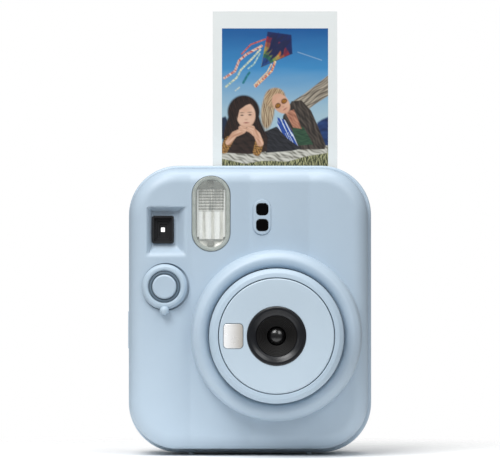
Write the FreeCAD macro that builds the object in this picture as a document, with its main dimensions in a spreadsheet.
import FreeCAD, Part
import math
import os
import re
import Sketcher

# Instant camera for small prints, with its lens out and one print standing in
# the exit slot. X runs to the right seen from the front, Y away from the
# viewer, Z up. The origin is on the table under the middle of the camera.

doc = FreeCAD.newDocument("InstantCamera")
sheet = doc.addObject("Spreadsheet::Sheet", "Sizes")

SIZES = {
    # case: a front cover butts on a slightly wider rear cover
    "seam_y": 11.0, "front_y": -9.0, "back_y": 34.0, "wall": 1.8,
    "rear_half_wide": 52.0, "rear_low_z": 0.85, "rear_high_z": 123.8, "rear_round": 21.3,
    "front_half_wide": 50.6, "front_low_z": 2.8, "front_high_z": 122.1, "front_round": 19.7,
    "front_edge_round": 6.0, "rear_edge_round": 5.0, "rim_edge_round": 1.0,
    "lobe_pitch": 25.2, "lobe_radius": 130.0, "fit": 0.1,
    # lens group, all about one axis
    "lens_x": 11.25, "lens_z": 51.1, "disc_y": -37.4, "barrel_r": 24.0, "barrel_tail_y": -12.0,
    "bulge_base_r": 36.175, "bulge_top_r": 32.2, "bulge_y": -20.0,
    "bulge_bore_r": 28.5, "ring_r": 28.15, "ring_bore_r": 24.3, "ring_y": -37.2,
    "guide_r": 33.4, "guide_bore_r": 28.55, "guide_y": -5.2, "guide_tail_y": -3.4, "barrel_wall": 1.8, "bezel_r": 12.25,
    "bezel_seat_r": 12.35, "cell_r": 11.0, "cell_bore_r": 9.2, "glass_r": 9.1,
    "dome_r": 3.9, "dome_curve": 8.0, "stop_r": 2.2, "blade_r": 2.6, "blade_arm": 5.5,
    "mirror_off": 18.0, "mirror_wide": 8.1, "mirror_tall": 10.3, "mirror_round": 1.6,
    # light-tight cone from the lens to the film
    "cone_y": 1.0, "gate_y": 21.4, "cone_half": 17.0, "gate_half_x": 26.5, "gate_half_z": 34.5,
    "cone_wall": 1.4, "image_wide": 46.0, "image_tall": 62.0, "image_z": 60.1,
    # film pack and print
    "film_x": 10.8, "film_wide": 54.0, "film_tall": 86.0, "film_low_z": 12.5,
    "print_y": 25.0, "print_thick": 0.4, "print_lift": 92.8, "picture_thick": 0.05,
    "side_border": 4.0, "top_border": 7.4, "pack_half": 29.5, "pack_y": 23.0,
    "pack_back_y": 33.0, "pack_low_z": 10.5, "pack_high_z": 100.5, "pack_skin": 1.4,
    # rollers and gear train
    "roller_r": 3.0, "roller_half": 28.0, "nip_z": 104.0, "nip_gap": 0.3, "axle_r": 1.2,
    "bearing_r": 1.28, "gear_x": -26.6, "gear_wide": 3.7, "idler_y": 12.7, "idler_z": 94.647,
    "pinion_y": 9.7, "pinion_z": 83.152, "motor_r": 5.0, "motor_x": -46.0, "motor_tail_x": -29.0,
    # doors
    "door_x": 10.5, "door_z": 59.0, "door_wide": 72.0, "door_tall": 109.0, "door_round": 16.0,
    "door_y": 34.1, "door_back_y": 36.0, "door_lap": 1.5, "pivot_x": 48.6, "pivot_y": 36.0,
    "knuckle_r": 1.9, "pin_r": 1.0, "side_y": 13.8, "side_back_y": 29.2, "side_low_z": 17.0,
    "side_high_z": 71.0, "cell_y": 21.6, "battery_r": 7.0, "battery_z": 19.0,
    "battery_long": 50.0, "battery_a_x": -42.6, "battery_b_x": -28.3,
    # viewfinder
    "finder_x": -36.9, "finder_z": 96.0, "hood_wide": 9.1, "hood_tall": 11.7,
    "pocket_x": -35.1, "pocket_z": 95.0, "pocket_wide": 16.8, "pocket_tall": 21.2,
    "pocket_floor_y": -5.4, "tube_wide": 9.8, "tube_tall": 12.2,
    # flash
    "flash_x": -16.4, "flash_z": 102.7, "flash_wide": 16.1, "flash_tall": 31.9,
    # light sensors
    "sensor_x": 5.2, "sensor_z": 101.2, "sensor_wide": 7.6, "sensor_tall": 15.0,
    "eye_size": 5.1, "eye_pitch": 6.7, "eye_round": 1.7,
    # shutter button and self-timer ring
    "button_x": -36.1, "button_z": 71.7, "button_r": 5.2, "collar_r": 6.55,
    "collar_bore_r": 5.35, "timer_bore_r": 6.75, "timer_r": 9.6, "nub_r": 2.0, "nub_off": 10.0,
    "button_y": -13.2, "timer_y": -12.0,
    # frame counter, feet
    "counter_x": -36.0, "counter_z": 80.0, "counter_r": 8.0,
    "foot_x": 25.3, "foot_r": 1.2, "foot_front_y": 13.0, "foot_rear_y": 27.0,
}

for row, (word, value) in enumerate(SIZES.items(), 1):
    sheet.set(f"A{row}", word)
    sheet.set(f"B{row}", str(value))
    sheet.setAlias(f"B{row}", word)
doc.recompute()

WORD = re.compile(r"\b[a-z][a-z_0-9]*\b")
SUBPARTS = {}


def formula(text):
    """The text with every size word pointed at its cell of the sheet."""
    return WORD.sub(lambda m: "Sizes." + m[0] if m[0] in SIZES else m[0], str(text))


def bind(item, prop, text):
    item.setExpression(prop, formula(text))


def value(text):
    return float(sheet.evalExpression(WORD.sub(lambda m: m[0], str(text))))


def place(item, x, y, z):
    for axis, text in zip("xyz", (x, y, z)):
        bind(item, "Placement.Base." + axis, text)
    return item


def box(name, x, y, z):
    """Block; each of x, y, z is a (low, high) pair of formulas."""
    item = doc.addObject("Part::Box", name)
    for prop, (low, high) in zip(("Length", "Width", "Height"), (x, y, z)):
        bind(item, prop, f"({high}) - ({low})")
    return place(item, x[0], y[0], z[0])


TURNS = {
    "X": FreeCAD.Rotation(FreeCAD.Vector(0, 1, 0), 90),
    "Y": FreeCAD.Rotation(FreeCAD.Vector(1, 0, 0), -90),
    "Z": FreeCAD.Rotation(),
}


def rod(name, axis, at, radius, low, high):
    """Cylinder along an axis from low to high; at holds the other two coordinates."""
    item = doc.addObject("Part::Cylinder", name)
    item.Placement = FreeCAD.Placement(FreeCAD.Vector(), TURNS[axis])
    bind(item, "Radius", radius)
    bind(item, "Height", f"({high}) - ({low})")
    base = {"X": (low, *at), "Y": (at[0], low, at[1]), "Z": (*at, low)}[axis]
    return place(item, *base)


def ball(name, x, y, z, radius):
    item = doc.addObject("Part::Sphere", name)
    bind(item, "Radius", radius)
    return place(item, x, y, z)


def fuse(name, *items):
    item = doc.addObject("Part::MultiFuse", name)
    item.Shapes = list(items)
    return item


def group(name, *items):
    item = doc.addObject("Part::Compound", name)
    item.Links = list(items)
    return item


def cut(name, base, *tools):
    item = doc.addObject("Part::Cut", name)
    item.Base = base
    item.Tool = tools[0] if len(tools) == 1 else fuse(name + "Tools", *tools)
    return item


def common(name, a, b):
    item = doc.addObject("Part::Common", name)
    item.Base = a
    item.Tool = b
    return item


def plane(body, role):
    return next(f for f in body.Origin.OriginFeatures if f.Role == role)


def sketch_on(body, role, name):
    sketch = body.newObject("Sketcher::SketchObject", name)
    sketch.AttachmentSupport = [(plane(body, role), "")]
    sketch.MapMode = "FlatFace"
    return sketch


def fix(sketch, kind, args, text):
    """Dimension driven by a formula."""
    index = sketch.addConstraint(Sketcher.Constraint(kind, *args, value(text)))
    sketch.renameConstraint(index, f"size{index}")
    bind(sketch, f"Constraints.size{index}", text)


def rounded_outline(sketch, left, right, low, high, radius):
    """Rectangle with four equal round corners."""
    x0, x1, z0, z1, r = (value(t) for t in (left, right, low, high, radius))
    vec = FreeCAD.Vector
    sides = [((x0 + r, z0), (x1 - r, z0)), ((x1, z0 + r), (x1, z1 - r)),
             ((x1 - r, z1), (x0 + r, z1)), ((x0, z1 - r), (x0, z0 + r))]
    centres = [(x1 - r, z0 + r), (x1 - r, z1 - r), (x0 + r, z1 - r), (x0 + r, z0 + r)]
    for start, end in sides:
        sketch.addGeometry(Part.LineSegment(vec(*start, 0), vec(*end, 0)), False)
    for turn, centre in enumerate(centres):
        circle = Part.Circle(vec(*centre, 0), vec(0, 0, 1), r)
        first = math.radians(-90 + 90 * turn)
        sketch.addGeometry(Part.ArcOfCircle(circle, first, first + math.pi / 2), False)
    for side in range(4):
        sketch.addConstraint(Sketcher.Constraint("Tangent", side, 2, 4 + side, 1))
        sketch.addConstraint(Sketcher.Constraint("Tangent", 4 + side, 2, (side + 1) % 4, 1))
    for side, kind in enumerate(("Horizontal", "Vertical", "Horizontal", "Vertical")):
        sketch.addConstraint(Sketcher.Constraint(kind, side))
    for arc in (5, 6, 7):
        sketch.addConstraint(Sketcher.Constraint("Equal", 4, arc))
    fix(sketch, "Radius", (4,), radius)
    fix(sketch, "DistanceX", (-1, 1, 3, 1), left)
    fix(sketch, "DistanceX", (-1, 1, 1, 1), right)
    fix(sketch, "DistanceY", (-1, 1, 0, 1), low)
    fix(sketch, "DistanceY", (-1, 1, 2, 1), high)


def edges_at(shape, y):
    """Names of the edges that lie in the plane at y."""
    found = []
    for index, edge in enumerate(shape.Edges, 1):
        room = edge.BoundBox
        if abs(room.YMin - y) < 1e-4 and abs(room.YMax - y) < 1e-4:
            found.append(f"Edge{index}")
    return found


def slab(name, x, z, radius, y, front_round=None, back_round=None):
    """Round-cornered slab; x, z and y are (low, high) pairs."""
    body = doc.addObject("PartDesign::Body", name)
    sketch = sketch_on(body, "XZ_Plane", name + "Outline")
    rounded_outline(sketch, *x, *z, radius)
    pad = body.newObject("PartDesign::Pad", name + "Pad")
    pad.Profile = sketch
    bind(pad, "Length", f"({y[1]}) - ({y[0]})")
    sketch.Visibility = False
    doc.recompute()
    last = pad
    depth = value(f"({y[1]}) - ({y[0]})")
    for size, at, word in ((front_round, -depth, "Front"), (back_round, 0.0, "Back")):
        if size is None:
            continue
        soft = body.newObject("PartDesign::Fillet", name + word + "Edge")
        soft.Base = (last, edges_at(last.Shape, at))
        bind(soft, "Radius", size)
        doc.recompute()
        last = soft
    body.Tip = last
    bind(body, "Placement.Base.y", y[1])
    return body


def centred_slab(name, at, size, radius, y, front_round=None, back_round=None):
    """Slab given by the middle and size of its outline."""
    spans = [(f"{c} - ({s}) / 2", f"{c} + ({s}) / 2") for c, s in zip(at, size)]
    return slab(name, *spans, radius, y, front_round, back_round)


def turned(name, at, points):
    """Solid of revolution about Y through (x, z); points are (radius, y) formulas."""
    body = doc.addObject("PartDesign::Body", name)
    sketch = sketch_on(body, "XY_Plane", name + "Profile")
    spots = [FreeCAD.Vector(value(r), value(y), 0) for r, y in points]
    count = len(spots)
    for index in range(count):
        line = Part.LineSegment(spots[index], spots[(index + 1) % count])
        sketch.addGeometry(line, False)
    for index in range(count):
        after = (index + 1) % count
        sketch.addConstraint(Sketcher.Constraint("Coincident", index, 2, after, 1))
    for index, (radius, y) in enumerate(points):
        fix(sketch, "DistanceX", (-1, 1, index, 1), radius)
        fix(sketch, "DistanceY", (-1, 1, index, 1), y)
    spin = body.newObject("PartDesign::Revolution", name + "Turn")
    spin.Profile = sketch
    spin.ReferenceAxis = (sketch, ["V_Axis"])
    spin.Angle = 360
    sketch.Visibility = False
    body.Tip = spin
    bind(body, "Placement.Base.x", at[0])
    bind(body, "Placement.Base.z", at[1])
    return body


def tube(name, at, outer, inner, y0, y1):
    return turned(name, at, [(inner, y0), (outer, y0), (outer, y1), (inner, y1)])


def wedge(name, front, back, y):
    """Four-sided frustum along Y; front and back are ((x0, x1), (z0, z1))."""
    item = doc.addObject("Part::Wedge", name)
    props = (("Xmin", front[0][0]), ("Xmax", front[0][1]), ("Zmin", front[1][0]),
             ("Zmax", front[1][1]), ("X2min", back[0][0]), ("X2max", back[0][1]),
             ("Z2min", back[1][0]), ("Z2max", back[1][1]), ("Ymin", y[0]), ("Ymax", y[1]))
    for prop, text in props:
        bind(item, prop, text)
    return item


def gear(name, teeth, y, z, phase, bore):
    """Spur gear about X with trapezoid teeth and some play between the flanks."""
    module = 0.44
    pitch = module * teeth / 2
    root, tip = pitch - 1.2 * module, pitch + 0.85 * module
    step = 2 * math.pi / teeth
    points = []
    for tooth in range(teeth):
        middle = phase + tooth * step
        for radius, turn in ((root, -0.36), (tip, -0.12), (tip, 0.12), (root, 0.36)):
            angle = middle + turn * step
            spot = FreeCAD.Vector(0, radius * math.cos(angle), radius * math.sin(angle))
            points.append(spot)
    face = Part.Face(Part.makePolygon(points + points[:1]))
    wheel = face.extrude(FreeCAD.Vector(SIZES["gear_wide"], 0, 0))
    if bore:
        hole = Part.makeCylinder(bore, SIZES["gear_wide"], FreeCAD.Vector(), FreeCAD.Vector(1, 0, 0))
        wheel = wheel.cut(hole)
    item = doc.addObject("Part::Feature", name)
    item.Shape = wheel
    return place(item, "gear_x", y, z)


def coil(name, radius, wire, length, turns):
    """Coil spring about Y, its ends left plain."""
    count = 16 * turns
    spots = []
    for step in range(count + 1):
        angle = 2 * math.pi * step / 16
        spots.append(FreeCAD.Vector(radius * math.cos(angle), length * step / count,
                                    radius * math.sin(angle)))
    path = Part.BSplineCurve()
    path.interpolate(spots)
    ring = Part.Wire(Part.makeCircle(wire, spots[0], path.tangent(path.FirstParameter)[0]))
    item = doc.addObject("Part::Feature", name)
    item.Shape = Part.Wire(path.toShape()).makePipeShell([ring], True, False)
    return place(item, "button_x", -5.9, "button_z")


def subpart(label, item):
    item.Label = label
    SUBPARTS[label] = item
    return item


LENS = ("lens_x", "lens_z")
BUTTON = ("button_x", "button_z")


def rear_block(name, inset, y, back_round=None, front_round=None):
    """Outline of the rear cover moved inwards by inset."""
    x = (f"-rear_half_wide + {inset}", f"rear_half_wide - {inset}")
    z = (f"rear_low_z + {inset}", f"rear_high_z - {inset}")
    return slab(name, x, z, f"rear_round - {inset}", y, front_round, back_round)


def front_block(name, inset, y, front_round):
    """Outline of the front cover moved inwards by inset."""
    x = (f"-front_half_wide + {inset}", f"front_half_wide - {inset}")
    z = (f"front_low_z + {inset}", f"front_high_z - {inset}")
    return slab(name, x, z, f"front_round - {inset}", y, front_round)


def make_front_cover():
    lobes = [
        rod(f"Lobe{n}", "Z", (f"lobe_pitch * {n - 1.5}", "front_y + lobe_radius"),
            "lobe_radius", "-5", "rear_high_z + 5")
        for n in range(4)
    ]
    block = front_block("FrontBlock", 0, ("front_y", "seam_y"), "front_edge_round")
    fluted = common("FrontFluted", block, fuse("Lobes", *lobes))
    top_y = "bulge_y"
    bulge = turned("Bulge", LENS, [
        ("bulge_bore_r", "front_y + 2"), ("bulge_base_r", "front_y + 2"),
        ("bulge_base_r", "front_y - 2"), ("bulge_base_r - 0.6", f"{top_y} + 4.4"),
        ("bulge_top_r + 2.1", f"{top_y} + 1.4"), ("bulge_top_r + 0.8", f"{top_y} + 0.2"),
        ("bulge_top_r", top_y), ("bulge_top_r - 2", f"{top_y} + 0.7"),
        ("bulge_bore_r", f"{top_y} + 3"),
    ])
    backing = centred_slab("FinderBacking", ("pocket_x", "pocket_z"),
                           ("pocket_wide + 2.4", "pocket_tall + 2.4"), "3",
                           ("front_y + 1", "pocket_floor_y + 2.2"))
    hollow = front_block("FrontHollow", "wall", ("front_y + wall", "seam_y + 1"),
                         "front_edge_round - wall")
    half = [f"pocket_{w} / 2" for w in ("wide", "tall")]
    hood = ["hood_wide / 2 + fit", "hood_tall / 2 + fit"]
    funnel = wedge(
        "FinderFunnel",
        ((f"pocket_x - {half[0]}", f"pocket_x + {half[0]}"),
         (f"pocket_z - {half[1]}", f"pocket_z + {half[1]}")),
        ((f"finder_x - ({hood[0]})", f"finder_x + {hood[0]}"),
         (f"finder_z - ({hood[1]})", f"finder_z + {hood[1]}")),
        ("front_y - 0.05", "pocket_floor_y"))
    shell = cut("FrontShell", fluted, hollow)
    body = fuse("FrontBody", shell, bulge, backing)
    through = ("front_y - 2", "front_y + 8")
    holes = [
        rod("BulgeBore", "Y", LENS, "bulge_bore_r", "bulge_y - 2", "front_y + 3"),
        funnel,
        centred_slab("HoodHole", ("finder_x", "finder_z"),
                     ("hood_wide + 2 * fit", "hood_tall + 2 * fit"), "0.6", through),
        centred_slab("FlashHole", ("flash_x", "flash_z"),
                     ("flash_wide + 2 * fit", "flash_tall + 2 * fit"), "8.05", through),
        centred_slab("SensorHole", ("sensor_x", "sensor_z"),
                     ("sensor_wide + 2 * fit", "sensor_tall + 2 * fit"), "3.8", through),
        rod("CollarHole", "Y", BUTTON, "collar_r + 0.05", *through),
    ]
    subpart("front_cover", cut("FrontCover", body, *holes))


def knuckle(name, z):
    return rod(name, "Z", ("pivot_x", "pivot_y"), "knuckle_r", *z)


def make_rear_cover():
    outer = rear_block("RearBlock", 0, ("seam_y", "back_y"), "rear_edge_round",
                       "rim_edge_round")
    hollow = rear_block("RearHollow", "wall", ("seam_y - 1", "back_y - wall"),
                        "rear_edge_round - wall")
    shell = cut("RearShell", outer, hollow)
    hinge = fuse("BodyKnuckle", knuckle("KnuckleMiddle", (45.2, 74.8)),
                 box("KnuckleFoot", ("pivot_x - 1", "pivot_x + 1"), (32.6, "pivot_y"), (45.2, 74.8)))
    body = fuse("RearBody", shell, hinge)
    wide = "door_wide / 2 - door_lap"
    tall = "door_tall / 2 - door_lap"
    rear_wall = ("back_y - wall - 1", "back_y + 1")
    holes = [
        slab("DoorOpening", (f"door_x - ({wide})", f"door_x + {wide}"),
             (f"door_z - ({tall})", f"door_z + {tall}"), "door_round - door_lap",
             ("back_y - wall - 1", "back_y + 0.05")),
        box("ExitSlot", ("film_x - 29.5", "film_x + 29.5"), ("print_y - 2", "print_y + 2"),
            ("rear_high_z - 5.4", "rear_high_z + 1")),
        centred_slab("EyepieceHole", ("finder_x", "finder_z"),
                     ("tube_wide + 2 * fit", "tube_tall + 2 * fit"), "1.1", rear_wall),
        box("SideOpening", ("-rear_half_wide - 1", "-rear_half_wide + wall + 1"),
            ("side_y - 0.2", "side_back_y + 0.7"), ("side_low_z - 0.2", "side_high_z + 0.2")),
        centred_slab("CounterHole", ("counter_x", "counter_z + 5.4"), (6.2, 4.2), "0.8",
                     rear_wall),
        rod("HingeBore", "Z", ("pivot_x", "pivot_y"), "pin_r + 0.05", 40, 80),
    ]
    holes += [rod(f"ScrewHole{n}", "Y", at, 1.5, *rear_wall) for n, at in enumerate(SCREWS)]
    subpart("rear_cover", cut("RearCover", body, *holes))
    return outer


SCREWS = ((-42, 12), (-42, 113), (0, 118), (35, 117.5))


def make_doors(outer):
    lid = centred_slab("Lid", ("door_x", "door_z"), ("door_wide", "door_tall"), "door_round",
                       ("door_y", "door_back_y"), None, "0.9")
    arms = []
    for name, z in (("Low", (28, 45)), ("High", (75, 92))):
        arms.append(box("Arm" + name, ("door_x + door_wide / 2 - 2", "pivot_x"),
                        ("door_y + 0.1", "pivot_y"), z))
        arms.append(knuckle("Knuckle" + name, z))
    bore = rod("DoorBore", "Z", ("pivot_x", "pivot_y"), "pin_r + 0.05", 26, 94)
    subpart("film_door", cut("FilmDoor", fuse("DoorBody", lid, *arms), bore))
    subpart("door_hinge_pin", rod("HingePin", "Z", ("pivot_x", "pivot_y"), "pin_r", 28, 92))
    pads = [box(f"Pad{n}", (f"film_x + {x} - 4", f"film_x + {x} + 4"),
                ("pack_back_y + 0.1", "door_y"), (22, 88)) for n, x in enumerate((-20, 20))]
    subpart("pack_pads", group("PackPads", *pads))
    thumb = box("LatchPlate", (-24.2, -18.8), ("door_back_y", "door_back_y + 1.0"), (50, 66))
    ribs = [box(f"LatchRib{n}", (-23.4, -19.6), ("door_back_y + 0.9", "door_back_y + 1.6"),
                (z, z + 0.9)) for n, z in enumerate((53, 56, 59, 62))]
    subpart("door_latch", fuse("DoorLatch", thumb, *ribs))
    plate = common("SidePlate", outer, box(
        "SideWindow", ("-rear_half_wide - 1", "-rear_half_wide + 1.6"),
        ("side_y", "side_back_y"), ("side_low_z", "side_high_z")))
    catch = box("SideCatch", ("-rear_half_wide - 0.4", "-rear_half_wide + 0.5"),
                ("side_y + 1.6", "side_y + 8"), (45.3, 61.2))
    bead = rod("SideBead", "Z", ("-rear_half_wide + 0.4", "side_back_y"), 0.55, 26, 62)
    subpart("battery_door", fuse("BatteryDoor", plate, catch, bead))


def make_batteries():
    low, high = "battery_z - 1.6", "battery_z + battery_long + 1.6"
    block = box("TrayBlock", (-50, -20.5), ("cell_y - battery_r - 0.8", "cell_y + battery_r + 0.8"),
                (f"{low} - 1.2", f"{high} + 1.2"))
    room = box("TrayRoom", (-51, -21.1), ("cell_y - battery_r - 0.1", "cell_y + battery_r + 0.1"),
               (low, high))
    edge = rear_block("TrayTrim", "wall + 0.2", ("seam_y", "back_y - wall - 0.2"))
    subpart("battery_tray", common("BatteryTray", cut("TrayShell", block, room), edge))
    cells, ends = [], []
    for n, x in enumerate(("battery_a_x", "battery_b_x")):
        at = (x, "cell_y")
        can = rod(f"Can{n}", "Z", at, "battery_r", "battery_z", "battery_z + battery_long - 1.4")
        cap = rod(f"Cap{n}", "Z", at, 2.7, "battery_z + battery_long - 2", "battery_z + battery_long")
        cells.append(fuse(f"Battery{n}", can, cap))
        ends.append(rod(f"ContactLow{n}", "Z", at, 4.0, low, "battery_z"))
        ends.append(rod(f"ContactHigh{n}", "Z", at, 4.0, "battery_z + battery_long", high))
    subpart("battery_cells", group("BatteryCells", *cells))
    subpart("battery_contacts", group("BatteryContacts", *ends))


def make_lens():
    subpart("lens_ring", turned("LensRing", LENS, [
        ("ring_bore_r", "ring_y + 0.3"), ("ring_bore_r + 0.3", "ring_y"),
        ("ring_r - 0.8", "ring_y"), ("ring_r - 0.25", "ring_y + 0.25"), ("ring_r", "ring_y + 0.8"),
        ("ring_r", "barrel_tail_y"), ("ring_bore_r", "barrel_tail_y"),
    ]))
    shell = turned("BarrelTurned", LENS, [
        ("bezel_seat_r", "disc_y"), ("barrel_r - 0.9", "disc_y"),
        ("barrel_r - 0.25", "disc_y + 0.25"), ("barrel_r", "disc_y + 0.9"),
        ("barrel_r", "barrel_tail_y"), ("barrel_r - barrel_wall", "barrel_tail_y"),
        ("barrel_r - barrel_wall", "disc_y + barrel_wall"),
        ("bezel_seat_r", "disc_y + barrel_wall"),
    ])
    seat = centred_slab("MirrorSeat", ("lens_x - mirror_off", "lens_z"),
                        ("mirror_wide + 2 * fit", "mirror_tall + 2 * fit"), "mirror_round + fit",
                        ("disc_y - 0.5", "disc_y + 0.9"))
    subpart("lens_barrel", cut("LensBarrel", shell, seat))
    subpart("selfie_mirror", centred_slab(
        "SelfieMirror", ("lens_x - mirror_off", "lens_z"), ("mirror_wide", "mirror_tall"),
        "mirror_round", ("disc_y + 0.1", "disc_y + 0.9")))
    subpart("lens_bezel", turned("LensBezel", LENS, [
        ("bezel_r", "disc_y + 1.8"), ("bezel_r", "disc_y"), ("bezel_r - 0.5", "disc_y - 0.5"),
        ("bezel_r - 1.2", "disc_y - 0.6"), ("10.2", "disc_y - 0.6"), ("9.2", "disc_y"),
        ("8.55", "disc_y + 1.2"), ("5.0", "disc_y + 5.0"), ("4.1", "disc_y + 5.0"),
        ("4.1", "disc_y + 6.2"), ("cell_r", "disc_y + 6.2"), ("cell_r", "disc_y + 1.8"),
    ]))
    subpart("lens_cell", tube("LensCell", LENS, "cell_r", "cell_bore_r", "disc_y + 6.2",
                              "disc_y + 16"))
    dome = common("Dome", ball("DomeBall", "lens_x", "disc_y + 5.3 + dome_curve", "lens_z",
                               "dome_curve"),
                  rod("DomeRod", "Y", LENS, "dome_r", "disc_y + 5", "disc_y + 7"))
    subpart("front_lens", fuse("FrontLens", dome, rod("FrontGlass", "Y", LENS, "glass_r",
                                                      "disc_y + 6.3", "disc_y + 8.8")))
    subpart("rear_lens", common("RearLens", ball("RearBall", "lens_x", "disc_y + 15.4 - 34",
                                                 "lens_z", 34),
                                rod("RearGlass", "Y", LENS, "glass_r", "disc_y + 12.8",
                                    "disc_y + 16")))
    pivot = ("lens_x + blade_arm", "lens_z")
    stop = tube("StopDisc", LENS, "glass_r", "stop_r", "disc_y + 9", "disc_y + 9.8")
    pin = rod("BladePin", "Y", pivot, 0.6, "disc_y + 9.8", "disc_y + 11.4")
    subpart("aperture_plate", fuse("AperturePlate", stop, pin))
    subpart("shutter_plate", tube("ShutterPlate", LENS, "glass_r", "stop_r + 0.8",
                                  "disc_y + 11.4", "disc_y + 12"))
    span = ("disc_y + 10.4", "disc_y + 10.8")
    leaf = fuse("BladeBody", rod("BladeDisc", "Y", LENS, "blade_r", *span),
                rod("BladeEye", "Y", pivot, 1.5, *span),
                box("BladeArm", ("lens_x + 1", "lens_x + blade_arm"), span,
                    ("lens_z - 1.2", "lens_z + 1.2")))
    subpart("shutter_blade", cut("ShutterBlade", leaf, rod("BladeBore", "Y", pivot, 0.66, *span)))
    ring = tube("GuideRing", LENS, "guide_r", "guide_bore_r", "guide_y", "guide_tail_y")
    posts = []
    for n, turn in enumerate((90, 210, 330)):
        x = f"lens_x + {31.6 * math.cos(math.radians(turn)):.4f}"
        z = f"lens_z + {31.6 * math.sin(math.radians(turn)):.4f}"
        posts.append(rod(f"GuidePost{n}", "Y", (x, z), 1.2, "front_y + 2.02", "guide_y"))
    subpart("barrel_guide", fuse("BarrelGuide", ring, *posts))


def frustum(name, inset, y):
    """Cone block from the lens to the gate, moved inwards by inset."""
    front = ((f"lens_x - cone_half + {inset}", f"lens_x + cone_half - {inset}"),
             (f"lens_z - cone_half + {inset}", f"lens_z + cone_half - {inset}"))
    back = ((f"film_x - gate_half_x + {inset}", f"film_x + gate_half_x - {inset}"),
            (f"image_z - gate_half_z + {inset}", f"image_z + gate_half_z - {inset}"))
    return wedge(name, front, back, y)


def make_light_path():
    cone = cut("Cone", frustum("ConeOuter", 0, ("cone_y", "gate_y")),
               frustum("ConeInner", "cone_wall", ("cone_y", "gate_y")))
    gate = box("GatePlate", ("film_x - pack_half + 0.2", "film_x + pack_half - 0.2"),
               ("gate_y", "pack_y"), ("pack_low_z", "pack_high_z"))
    window = box("GateWindow", ("film_x - image_wide / 2 - 0.8", "film_x + image_wide / 2 + 0.8"),
                 ("gate_y - 1", "pack_y + 1"),
                 ("image_z - image_tall / 2 - 0.8", "image_z + image_tall / 2 + 0.8"))
    subpart("light_baffle", fuse("LightBaffle", cone, cut("Gate", gate, window,
                                                          claw_slot("GateSlot"))))


def claw_slot(name):
    """Room for the film claw through the gate and the front of the pack."""
    return box(name, (-18.1, -14.1), ("gate_y - 1", "print_y + 0.4"), (6, 23))


def make_film():
    x = ("film_x - pack_half", "film_x + pack_half")
    case = box("PackBlock", x, ("pack_y", "pack_back_y"), ("pack_low_z", "pack_high_z"))
    room = box("PackRoom", ("film_x - film_wide / 2 - 0.6", "film_x + film_wide / 2 + 0.6"),
               ("pack_y + pack_skin", "pack_back_y - pack_skin"),
               ("film_low_z - 0.4", "film_low_z + film_tall + 0.4"))
    window = box("PackWindow", ("film_x - image_wide / 2 - 0.3", "film_x + image_wide / 2 + 0.3"),
                 ("pack_y - 1", "pack_y + 2"),
                 ("image_z - image_tall / 2 - 0.3", "image_z + image_tall / 2 + 0.3"))
    slot = box("PackSlot", ("film_x - 27.5", "film_x + 27.5"), ("print_y - 0.5", "print_y + 0.5"),
               (97, "pack_high_z + 1"))
    subpart("film_pack_case", cut("FilmPackCase", case, room, window, slot,
                                  claw_slot("PackClawSlot")))
    film = ("film_x - film_wide / 2", "film_x + film_wide / 2")
    sheet_z = ("film_low_z + print_lift", "film_low_z + print_lift + film_tall")
    subpart("film_stack", box("FilmStack", film, ("print_y + 0.5", "print_y + 3.4"),
                              ("film_low_z", "film_low_z + film_tall")))
    plate = box("PressPlate", ("film_x - 25", "film_x + 25"), ("print_y + 3.5", "print_y + 4.1"),
                (16, 95))
    legs = [box(f"PressLeg{n}", (f"film_x + {x} - 3", f"film_x + {x} + 3"),
                ("print_y + 4", "pack_back_y - pack_skin"), (z, z + 6))
            for n, (x, z) in enumerate(((-18, 25), (18, 25), (-18, 80), (18, 80)))]
    subpart("pack_pressure_plate", fuse("PackPressurePlate", plate, *legs))
    subpart("print_sheet", box("PrintSheet", film, ("print_y - print_thick / 2",
                                                    "print_y + print_thick / 2"), sheet_z))
    top = f"{sheet_z[1]} - top_border"
    subpart("print_picture", box(
        "PrintPicture", ("film_x - image_wide / 2", "film_x + image_wide / 2"),
        ("print_y - print_thick / 2 - picture_thick", "print_y - print_thick / 2"),
        (f"{top} - image_tall", top)))
    finger = box("ClawFinger", (-17.6, -14.6), (14, "print_y + 0.1"),
                 ("film_low_z - 2.1", "film_low_z - 0.2"))
    rail = box("ClawRail", (-17.6, -14.6), (12.5, 14), (4.5, 20))
    subpart("film_claw", fuse("FilmClaw", finger, rail))


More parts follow.
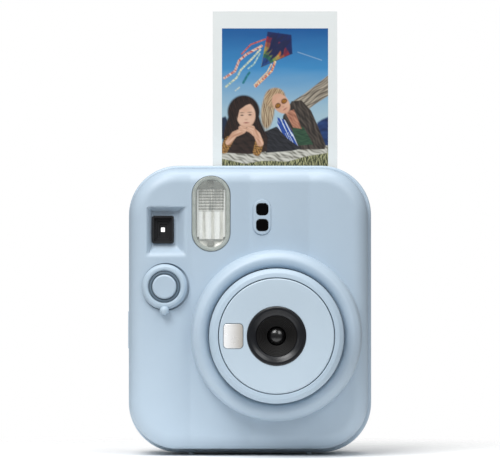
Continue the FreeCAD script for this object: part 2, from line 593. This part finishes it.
def make_drive():
    drive_y = "print_y - nip_gap - roller_r"
    pinch_y = "print_y + nip_gap + roller_r"
    for word, y in (("drive", drive_y), ("pinch", pinch_y)):
        at = (y, "nip_z")
        drum = rod(word + "Drum", "X", at, "roller_r", "film_x - roller_half",
                   "film_x + roller_half")
        axle = rod(word + "Axle", "X", at, "axle_r", -26.9, 42.6)
        subpart(word + "_roller", fuse(word + "Roller", drum, axle))
    step = 2 * math.pi
    idler_turn = math.atan2(SIZES["idler_z"] - SIZES["nip_z"],
                            SIZES["idler_y"] - value(drive_y))
    down_turn = math.atan2(SIZES["pinion_z"] - SIZES["idler_z"],
                           SIZES["pinion_y"] - SIZES["idler_y"])
    drive_phase = idler_turn
    subpart("drive_gear", gear("DriveGear", 15, drive_y, "nip_z", drive_phase, 1.2))
    # the gap of one wheel faces the tooth of its neighbour at each mesh
    pinch_phase = math.pi - drive_phase + step / 30
    subpart("pinch_gear", gear("PinchGear", 15, pinch_y, "nip_z", pinch_phase, 1.2))
    idler_phase = idler_turn + math.pi + step / 88
    subpart("idler_gear", gear("IdlerGear", 44, "idler_y", "idler_z", idler_phase, 1.05))
    facing = (down_turn - idler_phase) / (step / 44)
    share = facing - math.floor(facing)
    pinion_phase = down_turn + math.pi + (share + 0.5) * step / 10
    subpart("motor_pinion", gear("MotorPinion", 10, "pinion_y", "pinion_z", pinion_phase, 0.8))
    subpart("idler_pin", rod("IdlerPin", "X", ("idler_y", "idler_z"), 1.0, -27.4, -20.2))
    can = rod("MotorCan", "X", ("pinion_y", "pinion_z"), "motor_r", "motor_x", "motor_tail_x")
    shaft = rod("MotorShaft", "X", ("pinion_y", "pinion_z"), 0.74, "motor_tail_x - 1", -22.4)
    subpart("drive_motor", fuse("DriveMotor", can, shaft))
    low, high = "nip_z - 3", "nip_z + 6"
    left = fuse("FrameLeft", box("FrameLeftHigh", (-20.2, -18.9), (8, 31.9), (low, high)),
                box("FrameLeftLow", (-20.2, -18.9), (8, 20.5), (90, "nip_z - 2.5")))
    right = box("FrameRight", (40.5, 41.8), (14.5, 31.9), (low, high))
    bar = box("FrameBar", (-20.2, 41.8), (14.5, 16), (low, high))
    holes = [rod(f"Bearing{n}", "X", (y, "nip_z"), "bearing_r", -21, 43)
             for n, y in enumerate((drive_y, pinch_y))]
    subpart("roller_frame", cut("RollerFrame", fuse("FrameBody", left, right, bar), *holes))


def make_finder():
    at = ("finder_x", "finder_z")
    hood = centred_slab("HoodBlock", at, ("hood_wide", "hood_tall"), "0.5",
                        ("pocket_floor_y", "pocket_floor_y + 3.2"))
    eye = centred_slab("HoodEye", at, (5.4, 6.8), "0.4",
                       ("pocket_floor_y - 1", "pocket_floor_y + 4"))
    subpart("viewfinder_hood", cut("ViewfinderHood", hood, eye))
    long = ("-2", "back_y - 0.1")
    tube_body = centred_slab("TubeBlock", at, ("tube_wide", "tube_tall"), "1", long)
    bore = centred_slab("TubeBore", at, ("tube_wide - 2", "tube_tall - 2"), "0.6",
                        ("-3", "back_y + 1"))
    subpart("viewfinder_tube", cut("ViewfinderTube", tube_body, bore))
    inside = ("tube_wide - 2.1", "tube_tall - 2.1")
    subpart("viewfinder_front_lens", centred_slab("FinderLens", at, inside, "0.5", (-1.6, 0)))
    subpart("eyepiece_lens", centred_slab("EyepieceLens", at, inside, "0.5",
                                          ("back_y - 3", "back_y - 1")))
    cup = centred_slab("CupBlock", at, (17, 19), "5", ("back_y", "38"), None, "1.6")
    view = centred_slab("CupView", at, (9, 11), "2.5", ("back_y - 1", "39"))
    subpart("eyecup", cut("Eyecup", cup, view))


def make_flash():
    at = ("flash_x", "flash_z")
    subpart("flash_window", centred_slab("FlashWindow", at, ("flash_wide", "flash_tall"), "7.95",
                                         ("front_y - 0.1", "front_y + 1.7"), "0.6"))
    shell = centred_slab("ReflectorBlock", at, (15, 30.6), "7.2", (-7.2, 1.5))
    bowl = centred_slab("ReflectorBowl", at, (13.2, 28.8), "6.3", (-8, 0.6))
    subpart("flash_reflector", cut("FlashReflector", shell, bowl))
    subpart("flash_tube", rod("FlashTube", "Z", ("flash_x", -2.2), 1.4, "flash_z - 13",
                              "flash_z + 13"))
    subpart("flash_capacitor", rod("FlashCapacitor", "X", (3, 108), 5.5, 14, 42))


def make_sensors():
    bezel = centred_slab("SensorBlock", ("sensor_x", "sensor_z"), ("sensor_wide", "sensor_tall"),
                         "3.7", ("front_y - 0.2", "front_y + 3.4"))
    seats, eyes = [], []
    for n, side in enumerate((-1, 1)):
        at = ("sensor_x", f"sensor_z + {side} * eye_pitch / 2")
        size = ("eye_size", "eye_size")
        grown = ("eye_size + fit", "eye_size + fit")
        seats.append(centred_slab(f"EyeSeat{n}", at, grown, "eye_round",
                                  ("front_y - 1", "front_y + 0.9")))
        eyes.append(centred_slab(f"Eye{n}", at, size, "eye_round",
                                 ("front_y - 0.3", "front_y + 0.9")))
    subpart("sensor_bezel", cut("SensorBezel", bezel, *seats))
    subpart("sensor_windows", group("SensorWindows", *eyes))


def make_button():
    subpart("button_collar", turned("ButtonCollar", BUTTON, [
        ("collar_bore_r", "timer_y - 0.2"), ("collar_r - 0.3", "timer_y - 0.2"),
        ("collar_r", "timer_y + 0.1"), ("collar_r", "front_y + 4"),
        ("collar_bore_r", "front_y + 4"),
    ]))
    subpart("shutter_button", turned("ShutterButton", BUTTON, [
        ("0", "button_y + 0.3"), ("button_r - 1.6", "button_y"), ("button_r - 0.6", "button_y"),
        ("button_r", "button_y + 0.6"), ("button_r", "-6.5"), ("2.0", "-6.5"),
        ("2.0", "-3.8"), ("0", "-3.8"),
    ]))
    subpart("shutter_button_spring", coil("SpringCoil", 2.9, 0.3, 3.6, 3))
    board = box("SwitchBody", ("button_x - 5", "button_x + 5"), (-1.9, 1.4),
                ("button_z - 4", "button_z + 4"))
    subpart("shutter_switch", board)
    ring = turned("TimerBody", BUTTON, [
        ("timer_bore_r", "timer_y"), ("timer_r - 0.7", "timer_y"), ("timer_r", "timer_y + 0.7"),
        ("timer_r", "front_y - 0.2"), ("timer_bore_r", "front_y - 0.2"),
    ])
    nub = ball("TimerNub", "button_x", "front_y - 0.2 - nub_r", "button_z - nub_off", "nub_r")
    subpart("timer_ring", fuse("TimerRing", ring, nub))


def make_boards():
    subpart("main_board", box("MainBoard", (-6, 42), (11.5, 13.1), (88, 113)))
    subpart("flash_board", box("FlashBoard", (-46, -22), (2, 3.6), (16, 62)))
    disc = rod("CounterPlate", "Y", ("counter_x", "counter_z"), "counter_r", 30.6, 31.4)
    axle = rod("CounterAxle", "Y", ("counter_x", "counter_z"), 1.0, 31.3, 32.1)
    subpart("counter_disc", fuse("CounterDisc", disc, axle))
    subpart("counter_window", centred_slab("CounterWindow", ("counter_x", "counter_z + 5.4"),
                                           (6, 4), "0.7", ("back_y - wall + 0.1", "back_y")))


def make_trim():
    liner = box("LinerBlock", ("film_x - 29.4", "film_x + 29.4"), ("print_y - 1.9", "print_y + 1.9"),
                ("rear_high_z - 4.8", "rear_high_z"))
    gap = box("LinerGap", ("film_x - 28", "film_x + 28"), ("print_y - 0.7", "print_y + 0.7"),
              ("rear_high_z - 6", "rear_high_z + 1"))
    # its ends follow the round shoulders of the shell
    shoulders = rear_block("LinerShoulders", 0.25, ("print_y - 3", "print_y + 3"))
    subpart("exit_slot_liner", cut("ExitSlotLiner", common("LinerShaped", liner, shoulders), gap))
    feet = [rod(f"Foot{n}", "Z", (f"{side} * foot_x", y), "foot_r", 0, "rear_low_z")
            for n, (side, y) in enumerate(((-1, "foot_front_y"), (1, "foot_front_y"),
                                           (-1, "foot_rear_y"), (1, "foot_rear_y")))]
    subpart("feet", group("Feet", *feet))
    screws = [rod(f"Screw{n}", "Y", at, 1.45, "back_y - 2.6", "back_y - 0.4")
              for n, at in enumerate(SCREWS)]
    subpart("case_screws", group("CaseScrews", *screws))


make_front_cover()
make_doors(make_rear_cover())
make_batteries()
make_lens()
make_light_path()
make_film()
make_drive()
make_finder()
make_flash()
make_sensors()
make_button()
make_boards()
make_trim()
doc.recompute()

for item in doc.Objects:
    if {"Invalid", "Error"} & set(item.State):
        raise SystemExit(f"{item.Name} did not recompute: {item.State}")
os.makedirs("parts", exist_ok=True)
for label, item in SUBPARTS.items():
    shape = item.Shape
    if shape.isNull() or not shape.isValid() or not shape.Solids:
        raise SystemExit(f"{label} has no valid solid")
    shape.exportStep(f"parts/{label}.step")
print(len(SUBPARTS), "sub-parts written")
